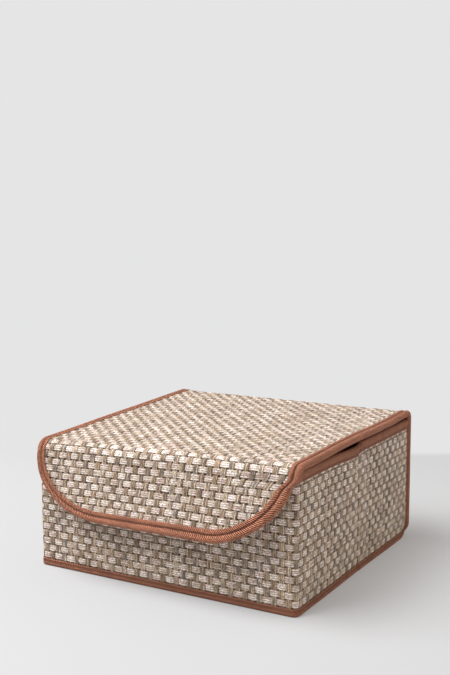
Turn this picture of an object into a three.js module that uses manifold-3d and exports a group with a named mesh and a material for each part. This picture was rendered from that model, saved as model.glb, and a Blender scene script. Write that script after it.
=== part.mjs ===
// Woven lidded box: a fold-flat storage box of woven cloth over card, bound with tape.
// Millimetres, +Z up. The front faces -Y and the origin is the middle of the underside.
import * as THREE from 'three';
import { mergeVertices } from 'three/addons/utils/BufferGeometryUtils.js';
import Module from 'manifold-3d';

const wasm = await Module();
wasm.setup();

// Overall sizes
const boxWidth = 305;
const boxDepth = 295;
const lidTop = 147.5;
const lidOverhang = 3;

// Lid folds and flap
const rearFoldRadius = 8;
const frontFoldRadius = 12;
const flapLength = 73;
const flapCornerWidth = 94;
const flapCornerLead = 1;
const flapTilt = THREE.MathUtils.degToRad(6.5);
const backCornerRadius = 16;

// Layers of a wall, from the outside in
const weaveThickness = 1.6;
const boardThickness = 1.8;
const liningThickness = 0.6;
const layerGap = 0.3;

// Tapes
const tapeThickness = 0.9;
const bindingWidth = 12;
const bindingNoseWall = 2.2;
const rimTapeHeight = 10.5;
const footTapeHeight = 7.5;
const footTapeThickness = 0.6;

// Clearances
const seamGap = 0.4;
const lidLift = 3.7;
const creaseGap = 0.8;
const flapClearance = 1.5;
const bottomClearance = 1;
const bottomCornerRadius = 4;
const innerCornerRadius = 0.4;

// Steps along round stretches
const noseSteps = 8;
const foldSteps = 8;
const cornerSteps = 6;
const flapCornerSteps = 14;

// Places that follow from the sizes
const sheetThickness = weaveThickness + boardThickness + liningThickness + 2 * layerGap;
const tapeReach = layerGap + tapeThickness;
const sideX = boxWidth / 2;
const frontY = -boxDepth / 2;
const backY = boxDepth / 2;
const innerX = sideX - sheetThickness;
const innerFrontY = frontY + sheetThickness;
const innerBackY = backY - sheetThickness;
const cornerRadius = sheetThickness + tapeReach + innerCornerRadius;
const edgeX = sideX + lidOverhang;
const edgeInset = bindingNoseWall + seamGap;
const sheetX = edgeX - edgeInset;
const wallFoot = footTapeThickness + layerGap;
const rimHeight = lidTop - sheetThickness - tapeReach - lidLift;
const wallTop = rimHeight - tapeReach;
const sideRearY = innerBackY - tapeReach - seamGap;
const sideFrontY = frontY + cornerRadius + seamGap;
const rearFold = { y: backY - rearFoldRadius, z: lidTop - rearFoldRadius };
const flapTopY = frontY - tapeReach - flapClearance - (sheetThickness + tapeReach) * Math.cos(flapTilt);
const frontFold = {
  y: flapTopY + frontFoldRadius * Math.cos(flapTilt),
  z: lidTop - frontFoldRadius,
};

// Depths of each layer below the outer face of a sheet
const weaveLayer = [0, weaveThickness];
const boardLayer = [weaveThickness + layerGap, weaveThickness + layerGap + boardThickness];
const liningLayer = [sheetThickness - liningThickness, sheetThickness];

// Materials
const looks = {
  weave: { color: 0xc9bba6, roughness: 0.7, metalness: 0 },
  tape: { color: 0x965a42, roughness: 0.85, metalness: 0 },
  board: { color: 0xa88c66, roughness: 0.9, metalness: 0 },
  lining: { color: 0x8a7460, roughness: 0.95, metalness: 0 },
};

function addPiece(group, name, geometry, look) {
  const mesh = new THREE.Mesh(geometry, new THREE.MeshStandardMaterial(looks[look]));
  mesh.name = name;
  group.add(mesh);
}

// A block between two corners
function block(low, high) {
  const size = high.map((value, axis) => value - low[axis]);
  const middle = high.map((value, axis) => (value + low[axis]) / 2);
  return new THREE.BoxGeometry(...size).translate(...middle);
}

// A flat outline in plan, stood up between two heights
function upright(points, low, high) {
  const shape = new THREE.Shape(points);
  const geometry = new THREE.ExtrudeGeometry(shape, { depth: high - low, bevelEnabled: false });
  return geometry.translate(0, 0, low);
}

// A flat outline of x and z, made into a plate between two values of y
function plate(shape, nearY, farY) {
  const options = { depth: farY - nearY, bevelEnabled: false, curveSegments: flapCornerSteps };
  return new THREE.ExtrudeGeometry(shape, options).rotateX(Math.PI / 2).translate(0, farY, 0);
}

// Two closed solids joined into one
function joined(...geometries) {
  const solids = geometries.map((geometry) => {
    const bare = geometry.clone();
    bare.deleteAttribute('normal');
    bare.deleteAttribute('uv');
    const welded = mergeVertices(bare);
    const vertProperties = new Float32Array(welded.attributes.position.array);
    const triVerts = new Uint32Array(welded.index.array);
    return new wasm.Manifold(new wasm.Mesh({ numProp: 3, vertProperties, triVerts }));
  });
  const mesh = solids.reduce((whole, solid) => whole.add(solid)).getMesh();
  const geometry = new THREE.BufferGeometry();
  geometry.setAttribute('position', new THREE.BufferAttribute(mesh.vertProperties, 3));
  geometry.setIndex(new THREE.BufferAttribute(mesh.triVerts, 1));
  return geometry;
}

// A closed section carried along stations, each with a point and two directions
function sweep(stations, section) {
  const positions = [];
  for (const { point, inward, outward } of stations) {
    for (const [across, above] of section) {
      const corner = point.clone().addScaledVector(inward, across).addScaledVector(outward, above);
      positions.push(...corner.toArray());
    }
  }
  const count = section.length;
  const faces = [];
  for (let ring = 0; ring + 1 < stations.length; ring += 1) {
    for (let side = 0; side < count; side += 1) {
      const a = ring * count + side;
      const b = ring * count + ((side + 1) % count);
      faces.push([a, b, b + count], [a, b + count, a + count]);
    }
  }
  const flat = section.map(([across, above]) => new THREE.Vector2(across, above));
  const last = (stations.length - 1) * count;
  for (const [a, b, c] of THREE.ShapeUtils.triangulateShape(flat, [])) {
    const turned = THREE.ShapeUtils.isClockWise(flat);
    const cap = turned ? [a, b, c] : [a, c, b];
    faces.push(cap, [last + cap[2], last + cap[1], last + cap[0]]);
  }
  const volume = faces.reduce((sum, face) => {
    const [a, b, c] = face.map((index) => new THREE.Vector3().fromArray(positions, index * 3));
    return sum + a.dot(b.cross(c));
  }, 0);
  const wound = volume < 0 ? faces.map(([a, b, c]) => [a, c, b]) : faces;
  const geometry = new THREE.BufferGeometry();
  geometry.setAttribute('position', new THREE.Float32BufferAttribute(positions, 3));
  geometry.setIndex(wound.flat());
  return geometry;
}

// Binding section: two legs either side of the sheet, joined by a round nose
const bindingSection = (() => {
  const nose = sheetThickness / 2 + tapeReach;
  const middle = -sheetThickness / 2;
  const points = [[bindingWidth, layerGap], [bindingWidth, tapeReach]];
  for (let step = 0; step <= noseSteps; step += 1) {
    const turn = Math.PI / 2 + (Math.PI * step) / noseSteps;
    points.push([nose + nose * Math.cos(turn), middle + nose * Math.sin(turn)]);
  }
  points.push([bindingWidth, -sheetThickness - tapeReach]);
  points.push([bindingWidth, -sheetThickness - layerGap]);
  points.push([bindingNoseWall, -sheetThickness - layerGap]);
  points.push([bindingNoseWall, layerGap]);
  return points;
})();

// Stations down one edge, round two lower corners and up the other edge
function roundedEdge(halfWidth, top, bottom, corner, y, outward) {
  const stations = [];
  const add = (x, z, turn) => stations.push({
    point: new THREE.Vector3(x, y, z),
    inward: new THREE.Vector3(-Math.cos(turn) / corner.wide, 0, -Math.sin(turn) / corner.tall).normalize(),
    outward,
  });
  add(-halfWidth, top, Math.PI);
  for (const side of [-1, 1]) {
    for (let step = 0; step <= flapCornerSteps; step += 1) {
      const quarter = (Math.PI / 2) * (step / flapCornerSteps);
      const turn = side < 0 ? Math.PI + quarter : 1.5 * Math.PI + quarter;
      const x = side * (halfWidth - corner.wide) + corner.wide * Math.cos(turn);
      add(x, bottom + corner.tall + corner.tall * Math.sin(turn), turn);
    }
  }
  add(halfWidth, top, 0);
  return stations;
}

// A sheet outline with two rounded lower corners, lying inside the edge by the inset of its binding
function roundedSheet(top, edgeBottom, corner) {
  const wide = corner.wide - edgeInset;
  const tall = corner.tall - edgeInset;
  const bottom = edgeBottom + edgeInset;
  const shape = new THREE.Shape();
  shape.moveTo(-sheetX, top);
  shape.lineTo(-sheetX, bottom + tall);
  shape.absellipse(-sheetX + wide, bottom + tall, wide, tall, Math.PI, 1.5 * Math.PI, false, 0);
  shape.lineTo(sheetX - wide, bottom);
  shape.absellipse(sheetX - wide, bottom + tall, wide, tall, 1.5 * Math.PI, 2 * Math.PI, false, 0);
  shape.lineTo(sheetX, top);
  return shape;
}

// A strip of cloth bent round a fold that runs across the box
function foldStrip(fold, outerRadius, layer, fromTurn, toTurn) {
  const outer = outerRadius - layer[0];
  const inner = outerRadius - layer[1];
  const slack = layerGap / outerRadius;
  const low = Math.min(fromTurn, toTurn) + slack;
  const high = Math.max(fromTurn, toTurn) - slack;
  const shape = new THREE.Shape();
  shape.absarc(0, 0, outer, low, high, false);
  shape.absarc(0, 0, inner, high, low, true);
  const options = { depth: 2 * sheetX, bevelEnabled: false, curveSegments: foldSteps };
  const alongX = new THREE.Matrix4().makeBasis(
    new THREE.Vector3(0, 1, 0),
    new THREE.Vector3(0, 0, 1),
    new THREE.Vector3(1, 0, 0),
  );
  return new THREE.ExtrudeGeometry(shape, options).applyMatrix4(alongX).translate(-sheetX, fold.y, fold.z);
}

// A binding bent round a fold, at one end of it
function foldBinding(fold, radius, fromTurn, toTurn, side) {
  const slack = layerGap / radius;
  const stations = [];
  for (let step = 0; step <= foldSteps; step += 1) {
    const span = toTurn - fromTurn - 2 * Math.sign(toTurn - fromTurn) * slack;
    const turn = fromTurn + Math.sign(span) * slack + (span * step) / foldSteps;
    const outward = new THREE.Vector3(0, Math.cos(turn), Math.sin(turn));
    const point = new THREE.Vector3(side * edgeX, fold.y, fold.z).addScaledVector(outward, radius);
    stations.push({ point, inward: new THREE.Vector3(-side, 0, 0), outward });
  }
  return sweep(stations, bindingSection);
}

const box = new THREE.Group();

// Walls: each gives its line in plan at any distance out from its woven face
function sideLine(side, nearY, farY) {
  return (out) => [
    new THREE.Vector2(side * (sideX + out), nearY),
    new THREE.Vector2(side * (sideX + out), farY),
  ];
}

function frontLine(out) {
  const points = [];
  for (const side of [-1, 1]) {
    for (let step = 0; step <= cornerSteps; step += 1) {
      const quarter = (Math.PI / 2) * (step / cornerSteps);
      const turn = side < 0 ? Math.PI + quarter : 1.5 * Math.PI + quarter;
      const centreX = side * (sideX - cornerRadius);
      const reach = cornerRadius + out;
      const x = centreX + reach * Math.cos(turn);
      const y = frontY + cornerRadius + reach * Math.sin(turn);
      points.push(new THREE.Vector2(x, y));
    }
  }
  return points;
}

function flatFrontLine(out) {
  const half = sideX - cornerRadius;
  return [new THREE.Vector2(-half, frontY - out), new THREE.Vector2(half, frontY - out)];
}

function strip(line, outer, inner, low, high) {
  return upright([...line(outer), ...line(inner).reverse()], low, high);
}

function layerStrip(line, layer) {
  return strip(line, -layer[0], -layer[1], wallFoot, wallTop);
}

function addWall(name, line, boardLine) {
  const inside = -sheetThickness - tapeReach;
  const rimFoot = rimHeight - rimTapeHeight;
  addPiece(box, `${name}_panel`, layerStrip(line, weaveLayer), 'weave');
  addPiece(box, `${name}_board`, layerStrip(boardLine, boardLayer), 'board');
  addPiece(box, `${name}_lining`, layerStrip(line, liningLayer), 'lining');
  const rim = joined(
    strip(line, tapeReach, layerGap, rimFoot, rimHeight),
    strip(line, tapeReach, inside, rimHeight - tapeThickness, rimHeight),
    strip(line, -sheetThickness - layerGap, inside, rimFoot, rimHeight),
  );
  addPiece(box, `${name}_rim_tape`, rim, 'tape');
  const foot = joined(
    strip(line, tapeReach, layerGap, 0, footTapeHeight),
    strip(line, tapeReach, -sheetThickness, 0, footTapeThickness),
  );
  addPiece(box, `${name}_foot_tape`, foot, 'tape');
}

addWall('front', frontLine, flatFrontLine);
for (const [word, side] of [['right', 1], ['left', -1]]) {
  const rearLine = sideLine(side, creaseGap / 2, sideRearY);
  const frontHalfLine = sideLine(side, sideFrontY, -creaseGap / 2);
  addWall(`${word}_rear`, rearLine, rearLine);
  addWall(`${word}_front`, frontHalfLine, frontHalfLine);
}

// Back: a sheet with rounded lower corners, bound down both edges and along its foot
const backTop = rearFold.z - layerGap;
const backCorner = { wide: backCornerRadius, tall: backCornerRadius };
const backSheet = roundedSheet(backTop, 0, backCorner);
const sheetParts = [
  ['panel', weaveLayer, 'weave'],
  ['board', boardLayer, 'board'],
  ['lining', liningLayer, 'lining'],
];
for (const [word, layer, look] of sheetParts) {
  addPiece(box, `back_${word}`, plate(backSheet, backY - layer[1], backY - layer[0]), look);
}
const backEdge = roundedEdge(edgeX, backTop, 0, backCorner, backY, new THREE.Vector3(0, 1, 0));
addPiece(box, 'back_binding', sweep(backEdge, bindingSection), 'tape');

// Bottom: woven cloth and lining inside the foot of the walls
function bottomSheet(low, high) {
  const half = innerX - bottomClearance;
  const near = innerFrontY + bottomClearance;
  const far = sideRearY - seamGap;
  const shape = new THREE.Shape();
  const radius = bottomCornerRadius;
  shape.absarc(half - radius, far - radius, radius, 0, Math.PI / 2, false);
  shape.absarc(-half + radius, far - radius, radius, Math.PI / 2, Math.PI, false);
  shape.absarc(-half + radius, near + radius, radius, Math.PI, 1.5 * Math.PI, false);
  shape.absarc(half - radius, near + radius, radius, 1.5 * Math.PI, 2 * Math.PI, false);
  const options = { depth: high - low, bevelEnabled: false, curveSegments: cornerSteps };
  return new THREE.ExtrudeGeometry(shape, options).translate(0, 0, low);
}

const bottomLiningLow = weaveThickness + layerGap;
addPiece(box, 'bottom_panel', bottomSheet(0, weaveThickness), 'weave');
addPiece(box, 'bottom_lining', bottomSheet(bottomLiningLow, bottomLiningLow + liningThickness), 'lining');

// Rear fold: the cloth that the lid swings on
const topTurn = Math.PI / 2;
addPiece(box, 'rear_fold_cloth', foldStrip(rearFold, rearFoldRadius, weaveLayer, 0, topTurn), 'weave');
addPiece(box, 'rear_fold_lining', foldStrip(rearFold, rearFoldRadius, liningLayer, 0, topTurn), 'lining');

// Front fold: the cloth that the flap swings on
const flapTurn = Math.PI - flapTilt;
const frontCloth = foldStrip(frontFold, frontFoldRadius, weaveLayer, topTurn, flapTurn);
const frontLining = foldStrip(frontFold, frontFoldRadius, liningLayer, topTurn, flapTurn);
addPiece(box, 'front_fold_cloth', frontCloth, 'weave');
addPiece(box, 'front_fold_lining', frontLining, 'lining');

// Lid: three flat layers and a binding along each side
const lidRearY = rearFold.y - layerGap;
const lidFrontY = frontFold.y + layerGap;
for (const [word, layer, look] of sheetParts) {
  const low = [-sheetX, lidFrontY, lidTop - layer[1]];
  const high = [sheetX, lidRearY, lidTop - layer[0]];
  addPiece(box, `lid_${word}`, block(low, high), look);
}
for (const [word, side] of [['right', 1], ['left', -1]]) {
  const stations = [lidRearY, lidFrontY].map((y) => ({
    point: new THREE.Vector3(side * edgeX, y, lidTop),
    inward: new THREE.Vector3(-side, 0, 0),
    outward: new THREE.Vector3(0, 0, 1),
  }));
  addPiece(box, `lid_binding_${word}`, sweep(stations, bindingSection), 'tape');
  const rearTape = foldBinding(rearFold, rearFoldRadius, 0, topTurn, side);
  addPiece(box, `rear_fold_binding_${word}`, rearTape, 'tape');
  const frontTape = foldBinding(frontFold, frontFoldRadius, topTurn, flapTurn, side);
  addPiece(box, `front_fold_binding_${word}`, frontTape, 'tape');
}

// Flap: hangs from the front fold, its foot standing away from the front
const flap = new THREE.Group();
flap.position.set(
  0,
  frontFold.y + frontFoldRadius * Math.cos(flapTurn),
  frontFold.z + frontFoldRadius * Math.sin(flapTurn),
);
flap.rotation.x = -flapTilt;
const flapCorner = { wide: flapCornerWidth, tall: flapLength - flapCornerLead };
const flapSheet = roundedSheet(-layerGap, -flapLength, flapCorner);
for (const [word, layer, look] of sheetParts) {
  addPiece(flap, `flap_${word}`, plate(flapSheet, layer[0], layer[1]), look);
}
const flapOutward = new THREE.Vector3(0, -1, 0);
const flapEdge = roundedEdge(edgeX, -layerGap, -flapLength, flapCorner, 0, flapOutward);
addPiece(flap, 'flap_binding', sweep(flapEdge, bindingSection), 'tape');
box.add(flap);

export default box;
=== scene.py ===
import math

import bpy
import numpy as np
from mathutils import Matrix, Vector


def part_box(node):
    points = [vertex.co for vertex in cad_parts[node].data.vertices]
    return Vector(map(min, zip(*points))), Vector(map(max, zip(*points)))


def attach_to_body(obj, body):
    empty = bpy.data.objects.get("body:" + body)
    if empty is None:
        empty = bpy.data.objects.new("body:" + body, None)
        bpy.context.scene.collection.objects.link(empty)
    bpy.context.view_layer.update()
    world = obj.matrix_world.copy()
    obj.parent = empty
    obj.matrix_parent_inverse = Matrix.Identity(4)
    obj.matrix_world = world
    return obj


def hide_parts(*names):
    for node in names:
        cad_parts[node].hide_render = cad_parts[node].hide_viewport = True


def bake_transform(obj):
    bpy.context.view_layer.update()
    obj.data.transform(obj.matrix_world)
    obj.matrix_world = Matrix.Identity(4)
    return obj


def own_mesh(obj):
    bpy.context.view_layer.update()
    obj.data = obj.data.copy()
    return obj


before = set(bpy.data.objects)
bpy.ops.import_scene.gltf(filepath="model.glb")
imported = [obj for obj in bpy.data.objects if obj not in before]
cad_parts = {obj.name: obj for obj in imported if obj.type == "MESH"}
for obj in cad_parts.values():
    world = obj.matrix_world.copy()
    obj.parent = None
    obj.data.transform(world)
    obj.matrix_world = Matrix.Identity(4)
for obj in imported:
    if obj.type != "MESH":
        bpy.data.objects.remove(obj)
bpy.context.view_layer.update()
print("frame loaded:", len(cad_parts), "solids")

scene = bpy.context.scene
mm = 0.001


# where the sheets lie, in millimetres, read from the solids
def solidBox(node):
    low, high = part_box(node)
    return np.array(low) / mm, np.array(high) / mm


frontLow, frontHigh = solidBox("front_panel")
rearHigh = solidBox("right_rear_panel")[1]
bindingHigh = solidBox("back_binding")[1]
lidHigh = solidBox("lid_panel")[1]
backHigh = solidBox("back_panel")[1]
rimHigh = solidBox("front_rim_tape")[1]

sheetThick = 4.6  # weave, card and lining together
walls = {
    "sideX": frontHigh[0],
    "frontY": frontLow[1],
    "rearY": rearHigh[1],
    "corner": frontHigh[1] - frontLow[1],
    "foot": frontLow[2],
    "top": frontHigh[2],
    "rim": rimHigh[2],
    "trim": 0.4,  # the cloth stops this far short of the ends and the top
}
lidStrip = {
    "backY": backHigh[1],
    "topZ": lidHigh[2],
    "edgeX": bindingHigh[0],
    "rearRadius": 8.0,
    "frontRadius": 12.0,
    "frontY": -144.04,
    "tilt": math.radians(6.5),
    "flap": 73.0,
    "backCorner": (16.0, 16.0),
    "flapCorner": (94.0, 72.0),
    "inset": 2.6,
    "columns": (-20, 20),
    "under": 8.4,  # the weave ends this far in from the strip's edge, under its binding
}

# lengths along the strip that makes the back, the lid and the flap
backTop = lidStrip["topZ"] - lidStrip["rearRadius"]
rearEnd = backTop + lidStrip["rearRadius"] * math.pi / 2
lidEnd = rearEnd + lidStrip["backY"] - lidStrip["rearRadius"] - lidStrip["frontY"]
flapTop = lidEnd + lidStrip["frontRadius"] * (math.pi / 2 - lidStrip["tilt"])
stripEnd = flapTop + lidStrip["flap"]
foldEnd = lidStrip["topZ"] - lidStrip["frontRadius"] * (1 - math.sin(lidStrip["tilt"]))

# lengths along the strip that makes the left side, the front and the right side
cornerArc = walls["corner"] * math.pi / 2
sideRun = walls["rearY"] - walls["frontY"] - walls["corner"]
frontRun = 2 * (walls["sideX"] - walls["corner"])
frontStart = sideRun + cornerArc
rightStart = frontStart + frontRun + cornerArc
wallEnd = rightStart + sideRun
wallMiddle = wallEnd / 2


# the soft shape: the lid sinks at its front left and lies a little askew, the walls give with it,
# the side creases draw in and nothing is dead flat
softness = {
    "rearY": 136.0,
    "depth": 292.0,
    "sink": 10.0,
    "askew": (8.0, 4.5),
    "flapLean": (2.0, 10.0),
    "flapShift": 5.0,
    "flapTuck": 7.5,
    "flapRise": -0.5,
    "giveFrom": 40.0,
    "rimDip": 3.4,
    "weave": 1.6,
    "creasePinch": 0.92,
    "pinchReach": 4.0,
    "lidBow": 1.4,
    "bowFrom": (60.0, 95.0),
    "bowRate": 6.0,
    "bowLevel": (-25.0, 70.0),
    "flapHalf": 150.0,
    "flapEnd": 1.1,
    "flapHeld": 0.8,
    "leanRise": 0.2,
    "tuckBy": 0.2,
    "tuckFrom": (50.0, 90.0),
    "cornerFrom": (140.0, 6.0),
    "dipEnd": (5.0, 11.0),
    "dipMiddle": (-8.0, 45.0),
    "creaseDraw": 1.0,
    "creaseReach": 95.0,
    "creaseFade": 1.5,
    "notch": (0.6, 2.8),
    "creaseStep": 0.9,
    "stepHalf": 0.8,
    "stepReach": 7.0,
    "footDraw": 1.6,
    "footReach": 60.0,
    "heelRadius": 17.0,
    "heelReach": 50.0,
    "ripple": 0.28,
    "rippleFrom": (130.0, 60.0),
}
# waves of the ripple: a rate for each millimetre and a start
ripples = {"lidX": (0.031, 1.3), "lidY": (0.027, 0.6), "slant": (0.063, 0.041), "slantShare": 0.5,
           "frontX": (0.045, 0.4), "frontZ": 0.05}


def wavy(value, rates):
    return np.sin(value * rates[0] + rates[1])


# 0 up to a place and 1 beyond it, over a short stretch
def beyond(value, place):
    return np.clip((value - place[0]) / place[1], 0, 1)


def sinking(x, y):
    away = np.clip((softness["rearY"] - y) / softness["depth"], 0, 1)
    leftShare = np.clip((lidStrip["edgeX"] - x) / (2 * lidStrip["edgeX"]), 0, 1)
    return away, softness["sink"] * away * leftShare


def settledLid(points):
    p = np.array(points, float)
    x, y, z = p[..., 0], p[..., 1], p[..., 2]
    away, sink = sinking(x, y)
    rightShare = beyond(x, softness["bowFrom"]) ** 2
    levelY, levelReach = softness["bowLevel"]
    bow = softness["lidBow"] * rightShare * np.clip(away * softness["bowRate"], 0, 1)
    bow = bow * (1 - np.exp(-((y - levelY) / levelReach) ** 2))
    rippleY, rippleOver = softness["rippleFrom"]
    r = softness["ripple"] * np.clip((rippleY - y) / rippleOver, 0, 1)
    slantX, slantY = ripples["slant"]
    wave = wavy(x, ripples["lidX"]) * wavy(y, ripples["lidY"])
    wave = wave + ripples["slantShare"] * np.sin(x * slantX + y * slantY)
    down = np.clip((foldEnd - z) / lidStrip["flap"], 0, softness["flapEnd"]) * (y < lidStrip["frontY"])
    atLeft, atRight = softness["flapLean"]
    half = softness["flapHalf"]
    lean = (atLeft + (atRight - atLeft) * np.clip((x + half) / (2 * half), 0, 1)) * down ** 2
    askew = np.interp(x, (-lidStrip["edgeX"], lidStrip["edgeX"]), softness["askew"]) * away
    tuck = np.clip(down / softness["tuckBy"], 0, 1) * beyond(x, softness["tuckFrom"])
    tuck = softness["flapTuck"] * tuck * tuck * (3 - 2 * tuck)
    p[..., 0] = x + askew - softness["flapShift"] * down - tuck
    p[..., 1] = y - lean
    sunk = sink * (1 - softness["flapHeld"] * down)
    raised = softness["leanRise"] * lean
    p[..., 2] = z - sunk - bow * (1 - down) + r * wave + raised + softness["flapRise"] * down
    return p


def settledWall(points):
    p = np.array(points, float)
    x, y, z = p[..., 0], p[..., 1], p[..., 2]
    # no card at the crease, so the layers behind the weave lie close to it there
    behind = walls["sideX"] - softness["weave"] - np.abs(x)
    pinch = softness["creasePinch"] * np.exp(-(y / softness["pinchReach"]) ** 2)
    corner = softness["cornerFrom"]
    x = x + np.sign(x) * np.where((behind > 0) & (np.abs(x) > corner[0]), behind * pinch, 0.0)
    sink = sinking(x, y)[1]
    give = np.clip((z - softness["giveFrom"]) / (walls["rim"] - softness["giveFrom"]), 0, 1)
    give = give * give * (3 - 2 * give)
    side = beyond(np.abs(x), corner)
    # the rim dips in front of the crease and steps up behind it
    endY, endOver = softness["dipEnd"]
    ahead = np.clip((endY - y) / endOver, 0, 1)
    dipY, dipReach = softness["dipMiddle"]
    dip = softness["rimDip"] * side * ahead ** 2 * (3 - 2 * ahead)
    dip = dip * np.exp(-((np.minimum(y, 0) - dipY) / dipReach) ** 2)
    fade = np.clip(1 - np.abs(y) / softness["creaseReach"], 0, 1) ** softness["creaseFade"]
    notch, notchReach = softness["notch"]
    crease = softness["creaseDraw"] * fade + notch * np.clip(1 - np.abs(y) / notchReach, 0, 1)
    half = softness["stepHalf"]
    step = np.clip((y + half) / (2 * half), 0, 1) * np.exp(-np.maximum(y, 0) / softness["stepReach"])
    crease = crease - softness["creaseStep"] * step
    footShare = np.clip(1 - z / softness["footReach"], 0, 1) ** 2 * beyond(-x, corner)
    heel = softness["heelRadius"]
    into = np.clip((y - (walls["rearY"] - heel)) / heel, 0, 1)
    lift = side * heel * (1 - np.sqrt(1 - into ** 2)) * np.clip(1 - z / softness["heelReach"], 0, 1)
    p[..., 2] = z - (sink + dip) * give + lift
    p[..., 0] = x - np.sign(x) * side * crease + footShare * softness["footDraw"]
    r = beyond(-y, corner) * softness["ripple"]
    p[..., 1] = y + r * wavy(x, ripples["frontX"]) * np.sin(z * ripples["frontZ"])
    return p


def stripAt(t):
    s = lidStrip
    t = np.asarray(t, float)
    turn = np.clip((t - backTop) / s["rearRadius"], 0, math.pi / 2)
    turn = turn + np.clip((t - lidEnd) / s["frontRadius"], 0, math.pi / 2 - s["tilt"])
    rearY, rearZ = s["backY"] - s["rearRadius"], backTop
    foldY, foldZ = s["frontY"], s["topZ"] - s["frontRadius"]
    flapAngle = math.pi - s["tilt"]
    flapY = foldY + s["frontRadius"] * math.cos(flapAngle) - (t - flapTop) * math.sin(flapAngle)
    flapZ = foldZ + s["frontRadius"] * math.sin(flapAngle) + (t - flapTop) * math.cos(flapAngle)
    parts = [t < backTop, t < rearEnd, t < lidEnd, t < flapTop]
    y = np.select(parts, [
        np.full_like(t, s["backY"]),
        rearY + s["rearRadius"] * np.cos(turn),
        rearY - (t - rearEnd),
        foldY + s["frontRadius"] * np.cos(turn),
    ], flapY)
    z = np.select(parts, [
        t,
        rearZ + s["rearRadius"] * np.sin(turn),
        np.full_like(t, s["topZ"]),
        foldZ + s["frontRadius"] * np.sin(turn),
    ], flapZ)
    return y, z, turn


def stripPoint(x, t, lift):
    y, z, turn = stripAt(t)
    lifted = np.broadcast_arrays(x, y + lift * np.cos(turn), z + lift * np.sin(turn))
    return settledLid(np.stack(lifted, -1))


def wallAt(s):
    s = np.asarray(s, float)
    w = walls
    c = w["corner"]
    turn = np.clip((s - sideRun) / c, 0, math.pi / 2)
    turn = turn + np.clip((s - frontStart - frontRun) / c, 0, math.pi / 2)
    inX, inY = w["sideX"] - c, w["frontY"] + c
    parts = [s < sideRun, s < frontStart, s < frontStart + frontRun, s < rightStart]
    x = np.select(parts, [
        np.full_like(s, -w["sideX"]),
        -inX - c * np.cos(turn),
        -inX + s - frontStart,
        inX - c * np.cos(turn),
    ], w["sideX"])
    y = np.select(parts, [
        w["rearY"] - s,
        inY - c * np.sin(turn),
        np.full_like(s, w["frontY"]),
        inY - c * np.sin(turn),
    ], inY + s - rightStart)
    return x, y, turn


def wallPoint(s, z, lift):
    x, y, turn = wallAt(s)
    lifted = np.broadcast_arrays(x - lift * np.cos(turn), y - lift * np.sin(turn), z)
    return settledWall(np.stack(lifted, -1))


# half the width of the strip at a length along it, for a line that lies inset from its edge
def halfWidth(t, inset):
    s = lidStrip
    t = np.asarray(t, float)
    half = np.full_like(t, s["edgeX"] - inset)
    for depth, (wide, tall) in ((t, s["backCorner"]), (stripEnd - t, s["flapCorner"])):
        fall = np.clip((tall - depth) / (tall - inset), 0, 1)
        rounded = s["edgeX"] - wide + (wide - inset) * np.sqrt(1 - fall ** 2)
        half = np.where(depth < tall, np.minimum(half, rounded), half)
    return half


# mesh helpers
def newPiece(name, verts, faces, material):
    mesh = bpy.data.meshes.new(name)
    mesh.from_pydata(np.asarray(verts, float) * mm, [], faces)
    mesh.polygons.foreach_set("use_smooth", np.ones(len(faces), bool))
    mesh.materials.append(material)
    mesh.update()
    obj = bpy.data.objects.new(name, mesh)
    scene.collection.objects.link(obj)
    return obj


def cornerVerts(mesh):
    found = np.zeros(len(mesh.loops), np.int32)
    mesh.loops.foreach_get("vertex_index", found)
    return found


def addMap(obj, name, perVertex=None, perCorner=None):
    layer = obj.data.uv_layers.new(name=name)
    values = perCorner if perCorner is not None else np.asarray(perVertex)[cornerVerts(obj.data)]
    layer.data.foreach_set("uv", np.asarray(values, np.float32).ravel())


def addValues(obj, name, values, domain):
    made = obj.data.attributes.new(name, "FLOAT", domain)
    made.data.foreach_set("value", np.asarray(values, np.float32))


def gridFaces(rows, columns, flip=False):
    a = (np.arange(rows - 1)[:, None] * columns + np.arange(columns - 1)[None, :]).ravel()
    faces = np.stack([a, a + columns, a + columns + 1, a + 1], -1)
    return faces[:, ::-1] if flip else faces


# a bake map for a long strip: its length is cut into rows that lie side by side
def stripMap(along, across, faces):
    length, width = along.max() - along.min(), across.max() - across.min()
    rows = max(1, round(math.sqrt(length / width)))
    step = length / rows
    a = (along - along.min())[faces]
    row = np.clip((a.mean(1) / step).astype(int), 0, rows - 1)[:, None]
    margin, edge = 0.04 * step, 0.05
    u = (a - row * step + margin) / (step + 2 * margin)
    v = (row + edge + (1 - 2 * edge) * (across - across.min())[faces] / width) / rows
    return np.stack([np.clip(u, 0, 1), v], -1).reshape(-1, 2)


# a repeatable pick from 0 to 1 for a set of keys
def chance(*keys):
    value = np.zeros(np.broadcast(*keys).shape)
    for count, key in enumerate(keys):
        value = value + np.asarray(key, float) * (12.9898 + 65.2123 * count)
    return np.modf(np.abs(np.sin(value + 0.7) * 43758.5453))[0]


# a bake map for a sheet, in true proportion
def sheetMap(u, v):
    longest = max(np.ptp(u), np.ptp(v))
    return np.stack([(u - u.min()) / longest, (v - v.min()) / longest], -1).reshape(-1, 2)


# a grid over a stretch of surface, with half its width given at each length
def sheetGrid(lengths, halves, step):
    share = np.linspace(-1, 1, max(3, int(2 * np.max(halves) / step)))
    u = halves[None, :] * share[:, None]
    return u, np.broadcast_to(lengths[None, :], u.shape)


# how a piece moves: on one body; a piece given two bodies stays fixed where it lies
def attach(obj, moves):
    if "body" in moves:
        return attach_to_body(obj, moves["body"])
    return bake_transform(obj)


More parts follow.
